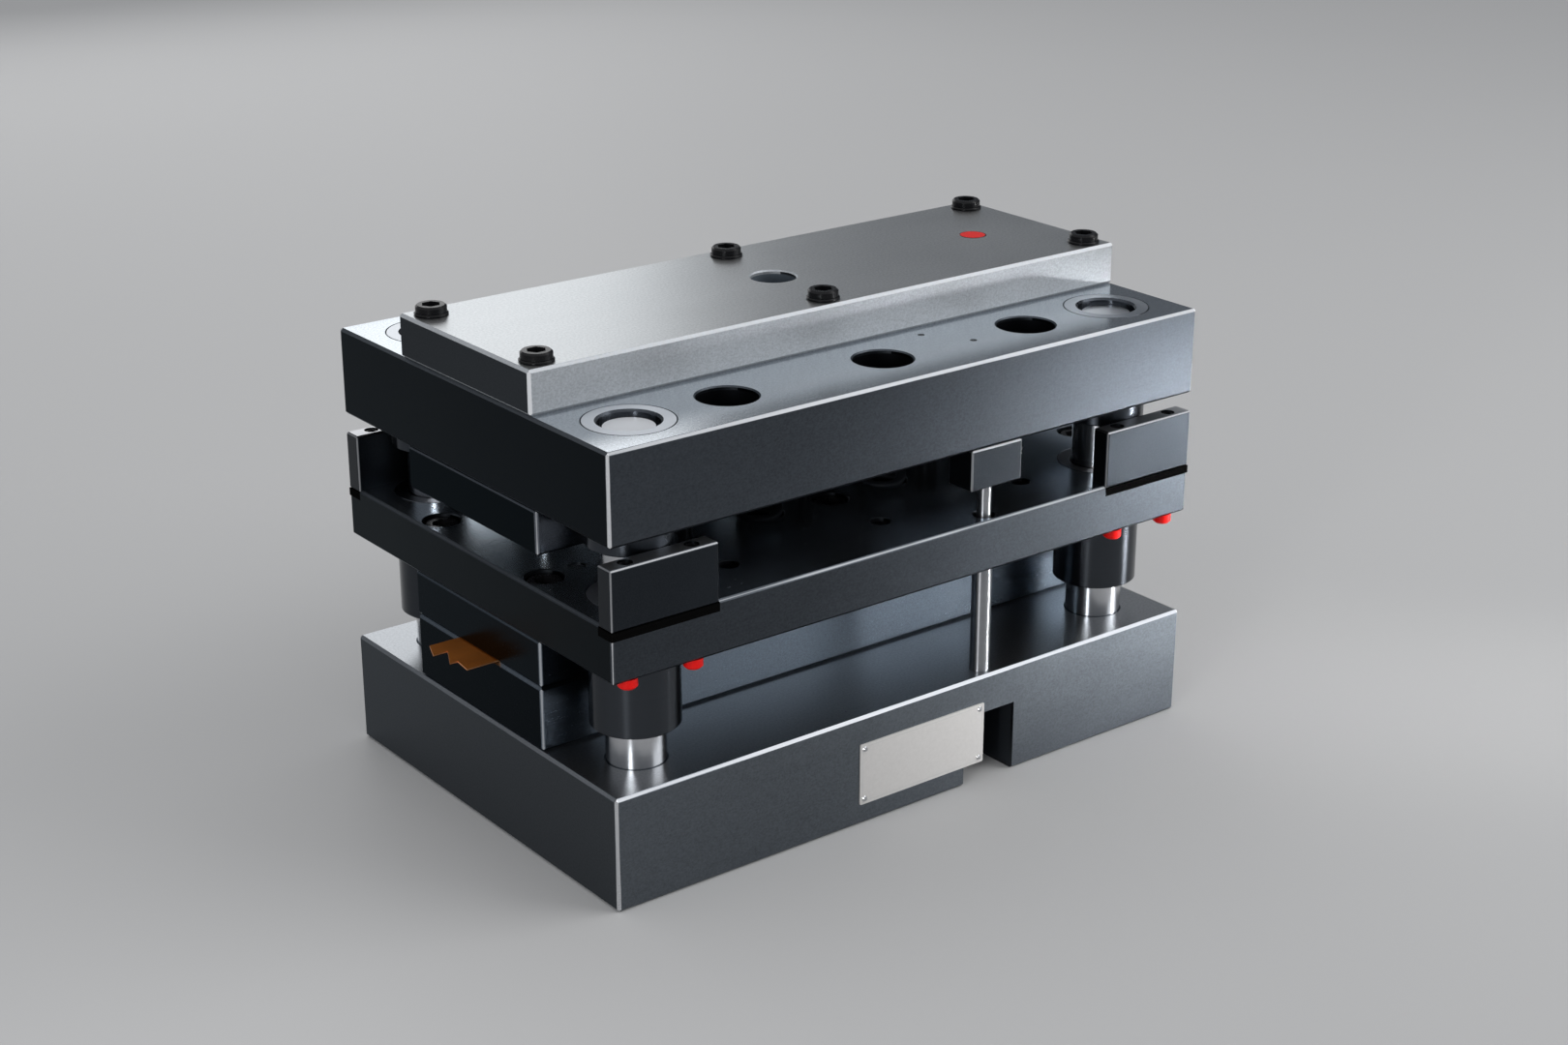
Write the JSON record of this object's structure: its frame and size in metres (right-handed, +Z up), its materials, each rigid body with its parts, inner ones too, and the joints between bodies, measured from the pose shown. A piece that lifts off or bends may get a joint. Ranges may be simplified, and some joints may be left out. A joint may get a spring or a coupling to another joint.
{
  "type": "progressive die",
  "caption": "Plate-built press tool: a strip is held by a sprung stripper between a lower die block and a guided upper die with punches, on guide posts.",
  "frame": {"origin": "middle of the lower shoe's underside, the face that stands on the press table", "axes": "+Z up along the press stroke, +X towards the side where the strip is fed in, -Y the front with the nameplate"},
  "size_m": [0.553, 0.3299, 0.347],
  "materials": {
    "ground_steel": "satin, bright ground on its tops, dark on its sides and ends",
    "bright_plate": "satin, finely ground and brighter",
    "tool_steel": "dark, hardened and polished",
    "corner_steel": "satin",
    "bright_shaft": "hardened and polished",
    "punch_steel": "fine ground",
    "black_oxide": "black oxide, oiled",
    "spring_paint": "painted",
    "copper": "rolled strip",
    "red_rubber": "smooth",
    "red_plastic": "glossy",
    "black_rubber": "matte",
    "plate_white": "satin, plain"
  },
  "bodies": {
    "lower_die": {"lower_shoe": "ground_steel", "guide_posts": "bright_shaft", "die_block": "tool_steel", "die_buttons": "punch_steel", "die_block_screws": "black_oxide", "die_block_dowels": "punch_steel", "stock_guides": "punch_steel", "strip": "copper", "probe_sleeve": "bright_shaft", "nameplate": "plate_white", "nameplate_rivets": "punch_steel"},
    "stripper": {"stripper_plate": "ground_steel", "stripper_bushes": "bright_shaft", "stripper_insert": "tool_steel", "insert_screws": "black_oxide", "insert_dowels": "punch_steel", "corner_blocks": "corner_steel", "corner_pads": "black_rubber", "corner_screws": "black_oxide", "bumpers": "red_rubber", "stripper_bolts": "black_oxide", "die_springs": "spring_paint"},
    "upper_die": {"upper_shoe": "ground_steel", "upper_bushes": "bright_shaft", "punch_plate": "tool_steel", "punch_plate_screws": "black_oxide", "punch_plate_dowels": "punch_steel", "round_punches": "punch_steel", "slot_punch": "punch_steel", "trim_punches": "punch_steel", "blanking_punch": "punch_steel", "pilots": "punch_steel", "probe_block": "corner_steel", "probe_block_screws": "black_oxide", "probe_pin": "bright_shaft", "ledge_pins": "punch_steel", "clamp_plate": "bright_plate", "clamp_washers": "black_oxide", "clamp_screws": "black_oxide", "marker_plug": "red_plastic"}
  },
  "joints": [
    {"name": "stripper_lift", "type": "slide", "parent": "lower_die", "child": "stripper", "axis": [0, 0, 1], "range_m": [0, 0.04]},
    {"name": "press_stroke", "type": "slide", "parent": "stripper", "child": "upper_die", "axis": [0, 0, 1], "range_m": [-0.0132, 0], "stiffness_N_per_m": 200000, "springref_m": 0.01, "deforming": ["die_springs"]}
  ]
}
